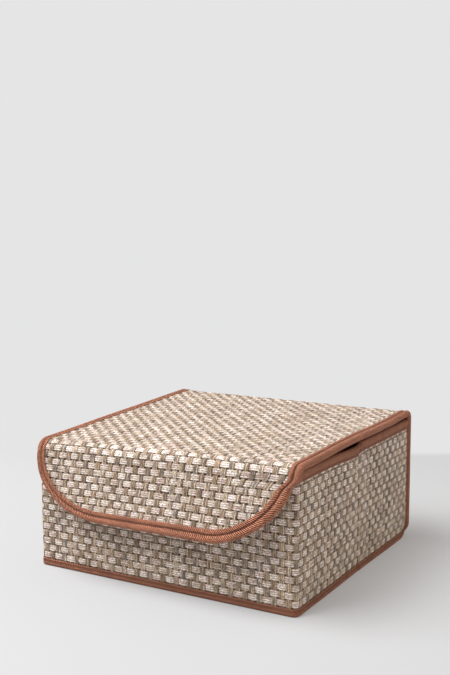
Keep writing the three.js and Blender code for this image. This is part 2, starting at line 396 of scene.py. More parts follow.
# shader helpers: a node's input is given a value or the socket that feeds it
def addNode(tree, kind, inputs=None, **settings):
    node = tree.nodes.new(kind)
    for key, value in settings.items():
        setattr(node, key, value)
    for socket, given in (inputs or {}).items():
        if isinstance(given, bpy.types.NodeSocket):
            tree.links.new(given, node.inputs[socket])
        else:
            node.inputs[socket].default_value = given
    return node


def mathNode(tree, operation, *values):
    return addNode(tree, "ShaderNodeMath", dict(enumerate(values)), operation=operation).outputs[0]


def mixColour(tree, factor, first, second, blend="MIX"):
    given = {0: factor, 6: first, 7: second}
    return addNode(tree, "ShaderNodeMix", given, data_type="RGBA", blend_type=blend).outputs[2]


def colourRamp(tree, factor, stops):
    node = addNode(tree, "ShaderNodeValToRGB", {0: factor})
    while len(node.color_ramp.elements) < len(stops):
        node.color_ramp.elements.new(0.5)
    for element, (place, colour) in zip(node.color_ramp.elements, stops):
        element.position = place
        element.color = shade(*colour)
    return node.outputs[0]


# a colour given as 0 to 255 on screen
def shade(r, g, b):
    def linear(c):
        c = c / 255
        return c / 12.92 if c <= 0.04045 else ((c + 0.055) / 1.055) ** 2.4
    return linear(r), linear(g), linear(b), 1.0


def newGroup(name, inputs, outputs):
    group = bpy.data.node_groups.new(name, "ShaderNodeTree")
    for label, kind, start in inputs:
        socket = group.interface.new_socket(label, in_out="INPUT", socket_type=kind)
        if start is not None:
            socket.default_value = start
    for label, kind in outputs:
        group.interface.new_socket(label, in_out="OUTPUT", socket_type=kind)
    return group, group.nodes.new("NodeGroupInput"), group.nodes.new("NodeGroupOutput")


def placeGroup(tree, group, **values):
    return addNode(tree, "ShaderNodeGroup", values, node_tree=group)


def newMaterial(name, roughness, sheen=0.0, specular=0.4):
    material = bpy.data.materials.new(name)
    material.use_nodes = True
    tree = material.node_tree
    tree.nodes.clear()
    surface = addNode(tree, "ShaderNodeBsdfPrincipled", {
        "Roughness": roughness, "Sheen Weight": sheen, "Sheen Tint": (1.0, 0.94, 0.86, 1.0),
        "Specular IOR Level": specular,
    })
    addNode(tree, "ShaderNodeOutputMaterial", {"Surface": surface.outputs[0]})
    return material, tree, surface


# all the materials of the box end alike: a colour, and a roughness and relief that follow a pattern
def finishSurface(tree, surface, colour, pattern, looks, height=None):
    tree.links.new(colour, surface.inputs["Base Color"])
    rough = mathNode(tree, "MULTIPLY_ADD", pattern, *looks["gloss"])
    tree.links.new(rough, surface.inputs["Roughness"])
    strength, distance = looks["bump"]
    relief = pattern if height is None else height
    bump = addNode(tree, "ShaderNodeBump", {"Strength": strength, "Distance": distance, "Height": relief})
    tree.links.new(bump.outputs[0], surface.inputs["Normal"])


def toned(tree, colour, tone):
    return mixColour(tree, 1.0, colour, tone, blend="MULTIPLY")


def mottled(tree, scale, low, high):
    return placeGroup(tree, mottle, Scale=scale, Low=low, High=high).outputs["Tone"]


# uneven tone, as handling and dust leave it
def makeMottle():
    group, start, end = newGroup(
        "mottle",
        [("Scale", "NodeSocketFloat", 20.0), ("Low", "NodeSocketFloat", 0.85),
         ("High", "NodeSocketFloat", 1.08)],
        [("Tone", "NodeSocketFloat")],
    )
    noise = addNode(group, "ShaderNodeTexNoise", {
        "Vector": addNode(group, "ShaderNodeTexCoord").outputs["Object"],
        "Scale": start.outputs["Scale"], "Detail": 3.0, "Roughness": 0.6,
    })
    span = addNode(group, "ShaderNodeMapRange", {
        "Value": noise.outputs[0], "From Min": 0.3, "From Max": 0.7,
        "To Min": start.outputs["Low"], "To Max": start.outputs["High"],
    })
    group.links.new(span.outputs[0], end.inputs["Tone"])
    return group


# slanting ribs of a twill tape, from a map in millimetres along and across it
twill = {"wobble": 0.5, "wobbleScale": 0.6, "crossRate": 7.6, "upRate": 8.4}


def makeTwill():
    group, start, end = newGroup(
        "twillRibs",
        [("Map", "NodeSocketVector", None), ("Pitch", "NodeSocketFloat", 1.9),
         ("Slant", "NodeSocketFloat", 1.0)],
        [("Rib", "NodeSocketFloat"), ("Thread", "NodeSocketFloat")],
    )
    split = addNode(group, "ShaderNodeSeparateXYZ", {0: start.outputs["Map"]})
    along, across = split.outputs[0], split.outputs[1]
    slanted = mathNode(group, "MULTIPLY", across, start.outputs["Slant"])
    line = mathNode(group, "DIVIDE", mathNode(group, "ADD", along, slanted), start.outputs["Pitch"])
    given = {"Vector": start.outputs["Map"], "Scale": twill["wobbleScale"], "Detail": 2.0}
    wobble = addNode(group, "ShaderNodeTexNoise", given)
    line = mathNode(group, "ADD", line, mathNode(group, "MULTIPLY", wobble.outputs[0], twill["wobble"]))
    wave = mathNode(group, "SINE", mathNode(group, "MULTIPLY", line, 2 * math.pi))
    group.links.new(mathNode(group, "MULTIPLY_ADD", wave, 0.5, 0.5), end.inputs["Rib"])
    cross = mathNode(group, "MULTIPLY", mathNode(group, "SUBTRACT", along, slanted), twill["crossRate"])
    cross = mathNode(group, "SINE", cross)
    up = mathNode(group, "SINE", mathNode(group, "MULTIPLY", across, twill["upRate"]))
    thread = mathNode(group, "MULTIPLY_ADD", mathNode(group, "MULTIPLY", cross, up), 0.5, 0.5)
    group.links.new(thread, end.inputs["Thread"])
    return group


mottle = makeMottle()
twillRibs = makeTwill()

# woven cloth: pale strands across, darker mixed strands up, each strand in its own tint
wovenTones = {
    "across": [(0.0, (184, 157, 141)), (0.2, (209, 186, 168)), (0.4, (232, 215, 200)), (0.6, (240, 226, 215)),
               (0.8, (230, 206, 197)), (1.0, (202, 174, 162))],
    "up": [(0.0, (132, 115, 104)), (0.18, (176, 151, 125)), (0.36, (210, 185, 153)), (0.5, (150, 141, 138)),
           (0.62, (240, 222, 200)), (0.76, (222, 192, 171)), (0.88, (188, 161, 137)), (1.0, (132, 115, 104))],
    "drift": 2.1,
    "upDrift": 0.35,
    "acrossDrift": 0.75,
    "acrossOwn": 0.3,
    "streak": (0.7, 0.66),
    "grain": 2.6,
    "bundle": 0.85,
    "mottle": (26.0, 0.9, 1.06),
    "darkest": 0.05,
    "warmth": (0.86, 1.0, 1.2),
    "roughness": 0.6,
    "gloss": (0.3, 0.42),
    "bump": (0.35, 0.0003),
}
# how fast each noise changes along a strand and from one to the next, and its detail
wovenNoise = {"drift": (0.42, 7.31, 1.0), "bundle": (0.3, 5.17, 1.0), "streak": (1.3, 26.0, 2.0),
              "grain": (3.6, 8.0, 2.0)}


def makeWoven():
    material, tree, surface = newMaterial("wovenStrands", wovenTones["roughness"], sheen=0.2, specular=0.35)
    weft, strand, depth = (
        addNode(tree, "ShaderNodeAttribute", attribute_name=name).outputs["Fac"]
        for name in ("weft", "strand", "depth")
    )
    cells = addNode(tree, "ShaderNodeUVMap", uv_map="cells")
    split = addNode(tree, "ShaderNodeSeparateXYZ", {0: cells.outputs[0]})
    u, v = split.outputs[0], split.outputs[1]

    def choose(whenUp, whenAcross):
        given = {0: weft, 2: whenUp, 3: whenAcross}
        return addNode(tree, "ShaderNodeMix", given, data_type="FLOAT").outputs[0]

    along, over = choose(v, u), choose(u, v)

    def noiseAt(kind, other):
        alongRate, otherRate, detail = wovenNoise[kind]
        place = addNode(tree, "ShaderNodeCombineXYZ", {
            0: mathNode(tree, "MULTIPLY", along, alongRate), 1: mathNode(tree, "MULTIPLY", other, otherRate),
        })
        given = {"Vector": place.outputs[0], "Scale": 1.0, "Detail": detail}
        return addNode(tree, "ShaderNodeTexNoise", given, noise_dimensions="2D").outputs[0]

    # a noise spread wider or narrower about its middle
    def spreadOut(noise, amount, middle):
        return mathNode(tree, "MULTIPLY_ADD", mathNode(tree, "SUBTRACT", noise, 0.5), amount, middle)

    # one tint along each strand, drifting every few bricks
    drift = spreadOut(noiseAt("drift", strand), wovenTones["drift"], 0.5)
    own = addNode(tree, "ShaderNodeTexWhiteNoise", {"W": strand}, noise_dimensions="1D").outputs[0]
    upTone = mathNode(tree, "FRACT", mathNode(tree, "MULTIPLY_ADD", drift, wovenTones["upDrift"], own))
    drifted = mathNode(tree, "MULTIPLY", drift, wovenTones["acrossDrift"])
    acrossTone = mathNode(tree, "MULTIPLY_ADD", own, wovenTones["acrossOwn"], drifted)
    colour = mixColour(
        tree, weft,
        colourRamp(tree, upTone, wovenTones["up"]),
        colourRamp(tree, acrossTone, wovenTones["across"]),
    )
    # some bundles are lighter than others
    bundle = spreadOut(noiseAt("bundle", mathNode(tree, "FLOOR", over)), wovenTones["bundle"], 1.0)
    # fine lines along each strand
    streak = noiseAt("streak", over)
    lines = mathNode(tree, "MULTIPLY_ADD", streak, *wovenTones["streak"])
    lines = mathNode(tree, "MULTIPLY", lines, spreadOut(noiseAt("grain", over), wovenTones["grain"], 1.0))
    tone = mottled(tree, *wovenTones["mottle"])
    lines = mathNode(tree, "MULTIPLY", lines, mathNode(tree, "MULTIPLY", tone, bundle))
    # painted shade in the weave's hollows and furrows, from its 'depth' values
    lines = mathNode(tree, "MULTIPLY", lines, depth)
    # darker places are warmer, the painted shade in the hollows as well as the darker strands
    lines = mathNode(tree, "MAXIMUM", lines, wovenTones["darkest"])
    powers = [mathNode(tree, "POWER", lines, power) for power in wovenTones["warmth"]]
    warm = addNode(tree, "ShaderNodeCombineXYZ", dict(enumerate(powers)))
    finishSurface(tree, surface, toned(tree, colour, warm.outputs[0]), streak, wovenTones)
    return material


# twill tape: the dark and pale tones of its ribs are partly its own twill and partly painted shade and
# highlight on the ribs' relief
tapeTones = {
    "tones": [(0.12, (54, 25, 16)), (0.5, (150, 88, 64)), (0.9, (242, 170, 136))],
    "rib": 0.7, "thread": 0.3, "mottle": (45.0, 0.84, 1.1), "speck": (620.0, 0.5, 1.46),
    "roughness": 0.85, "gloss": (-0.15, 0.92), "bump": (0.7, 0.0005),
}


def makeTape(name, pitch, slant, darker):
    material, tree, surface = newMaterial(name, tapeTones["roughness"], sheen=0.06, specular=0.2)
    place = addNode(tree, "ShaderNodeUVMap", uv_map="tape")
    ribs = placeGroup(tree, twillRibs, Map=place.outputs[0], Pitch=pitch, Slant=slant)
    mixed = mathNode(tree, "MULTIPLY", ribs.outputs["Rib"], tapeTones["rib"])
    mixed = mathNode(tree, "MULTIPLY_ADD", ribs.outputs["Thread"], tapeTones["thread"], mixed)
    colour = colourRamp(tree, mixed, tapeTones["tones"])
    scale, low, high = tapeTones["mottle"]
    tone = mottled(tree, scale, low * darker, high * darker)
    speck = mottled(tree, *tapeTones["speck"])
    # painted shade along the stitching groove, from the 'depth' values, with fine specks, darkens the tone
    depth = addNode(tree, "ShaderNodeAttribute", attribute_name="depth").outputs["Fac"]
    tone = mathNode(tree, "MULTIPLY", tone, mathNode(tree, "MULTIPLY", speck, depth))
    finishSurface(tree, surface, toned(tree, colour, tone), mixed, tapeTones)
    return material


# lining: a plain pressed cloth with small dents
liningTones = {
    "tones": [(0.3, (132, 112, 94)), (0.7, (172, 152, 132))],
    "dent": 2.4, "dentFloor": (0.35, 0.3), "dentTone": (-0.18, 1.07), "fibre": 0.6,
    "mottle": (14.0, 0.88, 1.06), "roughness": 0.9, "gloss": (0.2, 0.78),
    "bump": (0.5, 0.0004),
}


def makeLining():
    material, tree, surface = newMaterial("pressedLining", liningTones["roughness"], sheen=0.2, specular=0.2)
    place = addNode(tree, "ShaderNodeUVMap", uv_map="cloth").outputs[0]
    given = {"Vector": place, "Scale": 0.9, "Detail": 5.0, "Roughness": 0.7}
    fibres = addNode(tree, "ShaderNodeTexNoise", given).outputs[0]
    split = addNode(tree, "ShaderNodeSeparateXYZ", {0: place})
    turn = 2 * math.pi / liningTones["dent"]
    waves = [mathNode(tree, "SINE", mathNode(tree, "MULTIPLY", split.outputs[k], turn)) for k in (0, 1)]
    dents = mathNode(tree, "SMOOTH_MAX", mathNode(tree, "MULTIPLY", *waves), *liningTones["dentFloor"])
    height = mathNode(tree, "MULTIPLY", fibres, liningTones["fibre"])
    height = mathNode(tree, "SUBTRACT", height, dents)
    colour = colourRamp(tree, fibres, liningTones["tones"])
    tone = mathNode(tree, "MULTIPLY", mottled(tree, *liningTones["mottle"]),
                    mathNode(tree, "MULTIPLY_ADD", dents, *liningTones["dentTone"]))
    finishSurface(tree, surface, toned(tree, colour, tone), fibres, liningTones, height)
    return material


# card inside the walls
cardTones = {
    "tones": [(0.3, (136, 108, 76)), (0.7, (182, 154, 116))],
    "mottle": (9.0, 0.9, 1.05), "roughness": 0.92, "gloss": (0.15, 0.82),
    "bump": (0.3, 0.0003),
}


def makeCard():
    material, tree, surface = newMaterial("pressedCard", cardTones["roughness"], specular=0.2)
    place = addNode(tree, "ShaderNodeTexCoord").outputs["Object"]
    given = {"Vector": place, "Scale": 420.0, "Detail": 4.0, "Roughness": 0.7}
    fibres = addNode(tree, "ShaderNodeTexNoise", given).outputs[0]
    colour = colourRamp(tree, fibres, cardTones["tones"])
    colour = toned(tree, colour, mottled(tree, *cardTones["mottle"]))
    finishSurface(tree, surface, colour, fibres, cardTones)
    return material


# sewing thread, twisted
threadTones = {
    "tones": [(0.1, (98, 50, 32)), (0.8, (172, 104, 76))], "pitch": 0.55, "slant": 0.8,
    "mottle": (60.0, 0.88, 1.08), "roughness": 0.6, "gloss": (-0.15, 0.68),
    "bump": (0.5, 0.0002),
}


def makeThread():
    material, tree, surface = newMaterial("sewingThread", threadTones["roughness"], sheen=0.3, specular=0.35)
    place = addNode(tree, "ShaderNodeUVMap", uv_map="tape")
    ribs = placeGroup(tree, twillRibs, Map=place.outputs[0], Pitch=threadTones["pitch"],
                      Slant=threadTones["slant"])
    colour = colourRamp(tree, ribs.outputs["Rib"], threadTones["tones"])
    colour = toned(tree, colour, mottled(tree, *threadTones["mottle"]))
    finishSurface(tree, surface, colour, ribs.outputs["Rib"], threadTones)
    return material


wovenStrands = makeWoven()
bindingTape = makeTape("bindingTape", 2.5, 1.2, 1.0)
wallTape = makeTape("wallTape", 2.4, -1.1, 0.88)
pressedLining = makeLining()
pressedCard = makeCard()
sewingThread = makeThread()
print("materials made")


# the weave as relief: three thin strands up, three flat ones across, over and under by turns;
# each list of lines is one cell, with a crown at each line and the strand of the band after it
gap = -9  # the crown of a line between two bundles
weave = {
    "cell": 7.8,
    "puff": 0.22,
    "swing": 0.5,
    "squareness": 0.36,
    "crown": 0.26,
    "hole": -1.2,
    # painted shade in the furrows between strands
    "furrowShade": 0.85,
    "sink": 0.3,
    "wander": 0.035,
    "upLines": (0.115, 0.15, 0.265, 0.383, 0.50, 0.617, 0.735, 0.85, 0.885),
    "upCrown": (gap, -0.7, 0, -0.75, 0, -0.75, 0, -0.7, gap),
    "upStrand": (0, 0, 0, 1, 1, 2, 2, 2, -1),
    "acrossLines": (0.07, 0.10, 0.17, 0.31, 0.36, 0.41, 0.59, 0.64, 0.69, 0.83, 0.90, 0.93),
    "acrossCrown": (gap, -0.8, 0, 0, -0.95, 0, 0, -0.95, 0, 0, -0.8, gap),
    "acrossStrand": (0, 0, 0, 0, 1, 1, 1, 2, 2, 2, 2, -1),
    "strandKeys": (40, 700),
    # painted shade at each height of the weave, darkest in the holes
    "shadeAt": (-0.75, -0.3, 0.1, 0.5),
    "shade": (0.16, 0.45, 0.78, 0.95, 1.03),
}


# lines of the weave in one direction: place, bundle, crown and the strand of the band that follows
def weaveLines(first, last, limits, lines, crowns, strands, seed):
    cell = weave["cell"]
    index = np.repeat(np.arange(first, last), len(lines))
    part = np.tile(np.array(lines), last - first)
    crown = np.tile(np.array(crowns, float), last - first)
    band = np.tile(np.array(strands), last - first)
    place = (index + part + weave["wander"] * (chance(index, seed) - 0.5) * 2) * cell
    place = np.concatenate([[first * cell], place, [last * cell]])
    index = np.concatenate([[first], index, [last]])
    part = np.concatenate([[0.0], part, [0.0]])
    crown = np.concatenate([[gap], crown, [gap]])
    band = np.concatenate([[-1], band, [-1]])
    inside = (place > limits[0]) & (place < limits[1])
    keep = inside | np.append(inside[1:], False) | np.insert(inside[:-1], 0, False)
    place = np.clip(place, *limits)
    return place[keep], index[keep], part[keep], crown[keep], band[keep]


def weaveHeights(up, across):
    _, i, iPart, upCrown, upBand = up
    _, j, jPart, acrossCrown, acrossBand = across

    def swing(index, part):
        c = np.cos(math.pi * (index + part - 0.5))
        return np.sign(c) * np.abs(c) ** weave["squareness"]

    puff = 1 + weave["puff"] * (chance(i[:, None], j[None, :]) - 0.5)
    acrossOver = weave["swing"] * swing(i, iPart)[:, None] * np.where(j % 2, -1, 1)[None, :] * puff
    upOver = -weave["swing"] * swing(j, jPart)[None, :] * np.where(i % 2, -1, 1)[:, None] * puff
    acrossH = acrossOver + weave["crown"] * np.maximum(acrossCrown, -1)[None, :]
    upH = upOver + weave["crown"] * np.maximum(upCrown, -1)[:, None]
    acrossHere = np.broadcast_to((acrossCrown > gap)[None, :], upH.shape)
    upHere = np.broadcast_to((upCrown > gap)[:, None], upH.shape)
    height = np.full(upH.shape, weave["hole"])
    height = np.where(acrossHere, np.maximum(height, acrossH), height)
    height = np.where(upHere, np.maximum(height, upH), height)

    def faceMean(h):
        return (h[1:, 1:] + h[:-1, 1:] + h[1:, :-1] + h[:-1, :-1]) / 4

    acrossFace = np.broadcast_to((acrossBand[:-1] >= 0)[None, :], (len(i) - 1, len(j) - 1))
    upFace = np.broadcast_to((upBand[:-1] >= 0)[:, None], acrossFace.shape)
    isAcross = acrossFace & (~upFace | (faceMean(acrossH) > faceMean(upH)))
    acrossKey, upKey = weave["strandKeys"]
    acrossId = acrossKey + j[None, :-1] * 3 + np.maximum(acrossBand[:-1], 0)[None, :]
    upId = upKey + i[:-1, None] * 3 + np.maximum(upBand[:-1], 0)[:, None]
    strand = np.where(isAcross, acrossId, upId)
    acrossOn = acrossHere & (~upHere | (acrossH > upH))
    crown = np.where(acrossOn, acrossCrown[None, :], np.where(upHere, upCrown[:, None], 0))
    # painted shade: darker the deeper the weave lies, and darker in the furrows between strands
    clear = np.interp(height, (weave["hole"], *weave["shadeAt"]), weave["shade"])
    clear = clear * (1 + weave["furrowShade"] * np.clip(crown, -1, 0))
    return height - weave["sink"], isAcross, strand, clear


def weaveSheet(name, surface, columns, rows, uLimits, vLimits, uStart=0.0, keep=None):
    up = weaveLines(*columns, uLimits, weave["upLines"], weave["upCrown"], weave["upStrand"], 3)
    across = weaveLines(*rows, vLimits, weave["acrossLines"], weave["acrossCrown"],
                        weave["acrossStrand"], 5)
    height, isAcross, strand, clear = weaveHeights(up, across)
    u, v = np.meshgrid(up[0], across[0], indexing="ij")
    points = surface(u + uStart, v, height)
    faces = gridFaces(len(up[0]), len(across[0]))
    kept = np.ones(len(faces), bool)
    span = (np.diff(up[0])[:, None] > 1e-6) & (np.diff(across[0])[None, :] > 1e-6)
    kept &= span.ravel()
    if keep is not None:
        middleU = ((up[0][1:] + up[0][:-1]) / 2)[:, None]
        middleV = ((across[0][1:] + across[0][:-1]) / 2)[None, :]
        kept &= keep(middleU, middleV).ravel()
    flat = points.reshape(-1, 3)
    test = faces[len(faces) // 2]
    normal = np.cross(flat[test[1]] - flat[test[0]], flat[test[3]] - flat[test[0]])
    middle = np.array([len(up[0]) // 2]), np.array([len(across[0]) // 2])
    mu, mv = u[middle] + uStart, v[middle]
    outward = (surface(mu, mv, 1.0) - surface(mu, mv, 0.0)).ravel()
    if normal @ outward < 0:
        faces = faces[:, ::-1]
    faces = faces[kept]
    used, fresh = np.unique(faces, return_inverse=True)
    obj = newPiece(name, flat[used], fresh.reshape(faces.shape), wovenStrands)
    cells = np.stack([u / weave["cell"], v / weave["cell"]], -1).reshape(-1, 2)
    addMap(obj, "cells", perVertex=cells[used])
    addMap(obj, "OFBake", perVertex=sheetMap(u, v)[used])
    addValues(obj, "weft", isAcross.ravel()[kept], "FACE")
    addValues(obj, "strand", strand.ravel()[kept], "FACE")
    # the painted shade of the hollows goes to the material as its 'depth' values
    addValues(obj, "depth", clear.ravel()[used], "POINT")
    return obj


# tape carried along a line of stations, each with a place, a way in and a way out
tapeForm = {"station": 0.85, "rollReach": 3.0, "waver": 0.012, "slowWave": (0.22, 0.083, 1.1),
            "quickWave": (0.16, 0.191), "seamShade": 0.68, "seamReach": 0.6}


def tapeLoft(name, settle, point, inward, outward, length, spread, profile, material, pucker, seamAt):
    across = np.array([p[0] for p in profile])
    above = np.array([p[1] for p in profile])
    run = np.concatenate([[0], np.cumsum(np.hypot(np.diff(across), np.diff(above)))])
    rolled = np.exp(-((across - seamAt / 2) / tapeForm["rollReach"]) ** 2)
    wave = pucker * np.cos(2 * math.pi * length / stitch["pitch"])[:, None] * rolled[None, :]
    slow, slowRate, slowStart = tapeForm["slowWave"]
    quick, quickRate = tapeForm["quickWave"]
    waver = slow * np.sin(length * slowRate + slowStart) + quick * np.sin(length * quickRate)
    inn = across[None, :] * (spread + tapeForm["waver"] * waver)[:, None]
    middle = -sheetThick / 2
    side = np.where(above > middle, 1, -1)
    out = middle + (above - middle)[None, :] * spread[:, None] + wave * side[None, :]
    points = point[:, None, :] + inward[:, None, :] * inn[..., None] + outward[:, None, :] * out[..., None]
    flat = settle(points).reshape(-1, 3)
    faces = gridFaces(len(length), len(profile))
    obj = newPiece(name, flat, faces, material)
    longMap = np.repeat(length, len(profile))
    wideMap = np.tile(run, len(length))
    addMap(obj, "tape", perVertex=np.stack([longMap, wideMap], -1))
    addMap(obj, "OFBake", perCorner=stripMap(longMap, wideMap, faces))
    # painted shade: the tape is darker along its stitching groove
    clear = 1 - tapeForm["seamShade"] * np.exp(-((across - seamAt) / tapeForm["seamReach"]) ** 2)
    addValues(obj, "depth", np.tile(clear, len(length)), "POINT")
    return obj


# stitches: short arched threads that dip into the tape at both ends
stitch = {"pitch": 3.4, "long": 2.5, "radius": 0.34, "arch": 0.28, "sides": 6, "rings": 6,
          "stray": 0.3, "slant": 0.35, "sunk": 0.12, "taper": 1.8, "thinnest": 0.12, "mapStep": 0.4}


def stitchRow(name, settle, point, inward, outward, length, spread, across, above):
    count = int(length[-1] / stitch["pitch"])
    middles = (np.arange(count) + 0.5) * length[-1] / count
    share = np.linspace(-0.5, 0.5, stitch["rings"])
    turn = np.arange(stitch["sides"]) * 2 * math.pi / stitch["sides"]
    along = middles[:, None] + share[None, :] * stitch["long"]

    def at(values):
        found = [np.interp(along.ravel(), length, values[:, k]) for k in range(3)]
        return np.stack(found, -1).reshape(count, -1, 3)

    base, inn, out = at(point), at(inward), at(outward)
    wider = np.interp(along, length, spread)
    lean = stitch["stray"] * (chance(middles, 1.0) - 0.5)[:, None] + share[None, :] * stitch["slant"]
    middle = -sheetThick / 2
    rise = middle + (above - middle) * wider + stitch["arch"] * (1 - (2 * share) ** 2) - stitch["sunk"]
    centre = base + inn * (across * wider + lean)[..., None] + out * rise[..., None]
    fat = stitch["radius"] * np.sqrt(np.clip(1 - (stitch["taper"] * share) ** 4, stitch["thinnest"], 1))
    ring = (
        centre[:, :, None, :]
        + inn[:, :, None, :] * (np.cos(turn)[None, None, :] * fat[None, :, None])[..., None]
        + out[:, :, None, :] * (np.sin(turn)[None, None, :] * fat[None, :, None])[..., None]
    )
    verts = settle(ring).reshape(-1, 3)
    rings, sides = stitch["rings"], stitch["sides"]
    one = []
    for r in range(rings - 1):
        for k in range(sides):
            a, b = r * sides + k, r * sides + (k + 1) % sides
            one.append([a, b, b + sides, a + sides])
    one = np.array(one)
    faces = (one[None] + (np.arange(count) * rings * sides)[:, None, None]).reshape(-1, 4)
    obj = newPiece(name, verts, faces, sewingThread)
    longMap = np.repeat(along.ravel(), sides)
    wideMap = np.tile(np.arange(sides) * stitch["mapStep"], count * rings)
    addMap(obj, "tape", perVertex=np.stack([longMap, wideMap], -1))
    return obj


# one plain sheet over a stretch of surface, with its width given at each length
ruffles = {"deep": 0.12, "slant": (0.11, 0.05), "along": (0.13, 0.5)}


def plainSheet(name, surface, lengths, halves, lift, material, step=6.0):
    u, v = sheetGrid(lengths, halves, step)
    slantU, slantV = ruffles["slant"]
    ruffle = ruffles["deep"] * np.sin(u * slantU + v * slantV) * wavy(v, ruffles["along"])
    points = surface(u, v, lift + ruffle)
    flat = points.reshape(-1, 3)
    faces = gridFaces(*u.shape)
    obj = newPiece(name, flat, faces, material)
    addMap(obj, "cloth", perVertex=np.stack([u, v], -1).reshape(-1, 2))
    addMap(obj, "OFBake", perVertex=sheetMap(u, v))
    return obj


def turnTo(obj, outward):
    mesh = obj.data
    middle = mesh.polygons[len(mesh.polygons) // 2]
    if middle.normal @ Vector(outward) < 0:
        mesh.flip_normals()


# a card slab between two depths, with its width given at each length
def cardSlab(name, surface, lengths, halves, depths, step=12.0):
    u, v = sheetGrid(lengths, halves, step)
    top = surface(u, v, -depths[0]).reshape(-1, 3)
    low = surface(u, v, -depths[1]).reshape(-1, 3)
    rows, columns = u.shape
    count = rows * columns
    grid = np.arange(count).reshape(rows, columns)
    edge = np.concatenate([grid[:, 0], grid[-1, 1:], grid[-2::-1, -1], grid[0, -2::-1]])
    rim = np.stack([edge[:-1], edge[1:], edge[1:] + count, edge[:-1] + count], -1)
    faces = np.concatenate([gridFaces(rows, columns), gridFaces(rows, columns, True) + count, rim[:, ::-1]])
    obj = newPiece(name, np.concatenate([top, low]), faces, pressedCard)
    obj.data.polygons.foreach_set("use_smooth", np.zeros(len(faces), bool))
    return obj


# camera, placed as the photograph was taken
view = {"place": (0.5484, -0.9647, 0.3661), "down": 6.55, "turn": 30.03, "lens": 54.2}
camera = bpy.data.objects.new("camera", bpy.data.cameras.new("camera"))
camera.data.lens = view["lens"]
camera.data.sensor_width = 36.0
camera.location = view["place"]
camera.rotation_euler = (math.radians(90 - view["down"]), 0.0, math.radians(view["turn"]))
camera.data.clip_start = 0.02
scene.collection.objects.link(camera)
scene.camera = camera


# front and sides
depths = {"card": (1.9, 3.7), "lining": sheetThick}
wallRows = (0, 18)  # weave cells from the foot to the rim
# where the cloth turns from one body to the next, at a crease and at the front right corner
turnAt = {"creaseX": 154.0, "creaseHalf": 6.0, "corner": ((152.5, -141.3, 0), (146.3, -147.5, 0))}


def creaseTurn(rear, ahead, side):
    x, half = side * turnAt["creaseX"], turnAt["creaseHalf"]
    return {"bodies": (rear, ahead), "start": (x, half, 0), "end": (x, -half, 0)}


wallParts = [
    {"name": "left", "columns": (-57, -20), "walls": ("left_rear", "left_front"),
     "moves": creaseTurn("left_rear", "left_front", -1)},
    {"name": "front", "columns": (-20, 0), "walls": ("front",), "moves": {"body": "front"}},
    {"name": "corner", "columns": (0, 29), "walls": ("right_front",),
     "moves": {"bodies": ("right_front", "front"), "start": turnAt["corner"][0], "end": turnAt["corner"][1]}},
    {"name": "right", "columns": (29, 57), "walls": ("right_rear",),
     "moves": creaseTurn("right_rear", "right_front", 1)},
]
# tape sections: distance in from the edge, and height over the cloth's face
rimRoll = {"reach": 3.2, "middle": -2.3, "high": 3.65, "ends": 0.1}
rimProfile = [(10.5, 0.2), (10.55, 0.6), (10.3, 0.95), (9.4, 1.08), (8.6, 1.0), (8.1, 0.72), (7.6, 1.02),
              (6.6, 1.2), (5.2, 1.35), (4.0, 1.4)]
rimProfile += [
    (rimRoll["reach"] - rimRoll["reach"] * math.sin(a), rimRoll["middle"] + rimRoll["high"] * math.cos(a))
    for a in np.linspace(rimRoll["ends"], math.pi - rimRoll["ends"], 13)
]
rimProfile += [(4.0, -5.9), (5.6, -5.85), (7.6, -5.7), (8.1, -5.4), (8.6, -5.65), (10.3, -5.6),
               (10.55, -5.25), (10.5, -4.8)]
footProfile = [(7.6, 0.15), (7.65, 0.5), (7.4, 0.85), (6.6, 0.98), (5.8, 0.9), (5.3, 0.66), (4.8, 0.92),
               (3.6, 1.12), (2.2, 1.2), (1.2, 1.05), (0.5, 0.6), (0.12, -0.1), (0.0, -1.0), (0.0, -2.6),
               (0.1, -4.4), (0.4, -4.6)]
# each wall tape: its edge's height, the way in from it, its seam and how high the thread lies there
wallTapes = {
    "Rim": {"z": walls["rim"], "way": -1.0, "profile": rimProfile, "pucker": 0.05,
            "seam": 8.1, "thread": 0.9},
    "Foot": {"z": 0.0, "way": 1.0, "profile": footProfile, "pucker": 0.06,
             "seam": 5.3, "thread": 0.85},
}


def wallStations(low, high, z, upward):
    count = max(2, int((high - low) / tapeForm["station"]))
    s = np.linspace(low, high, count + 1)
    x, y, turn = wallAt(s)
    point = np.stack([x, y, np.full_like(x, z)], -1)
    inward = np.tile([0.0, 0.0, upward], (len(s), 1))
    outward = np.stack([-np.cos(turn), -np.sin(turn), np.zeros_like(x)], -1)
    return point, inward, outward, s - low, np.ones_like(s)


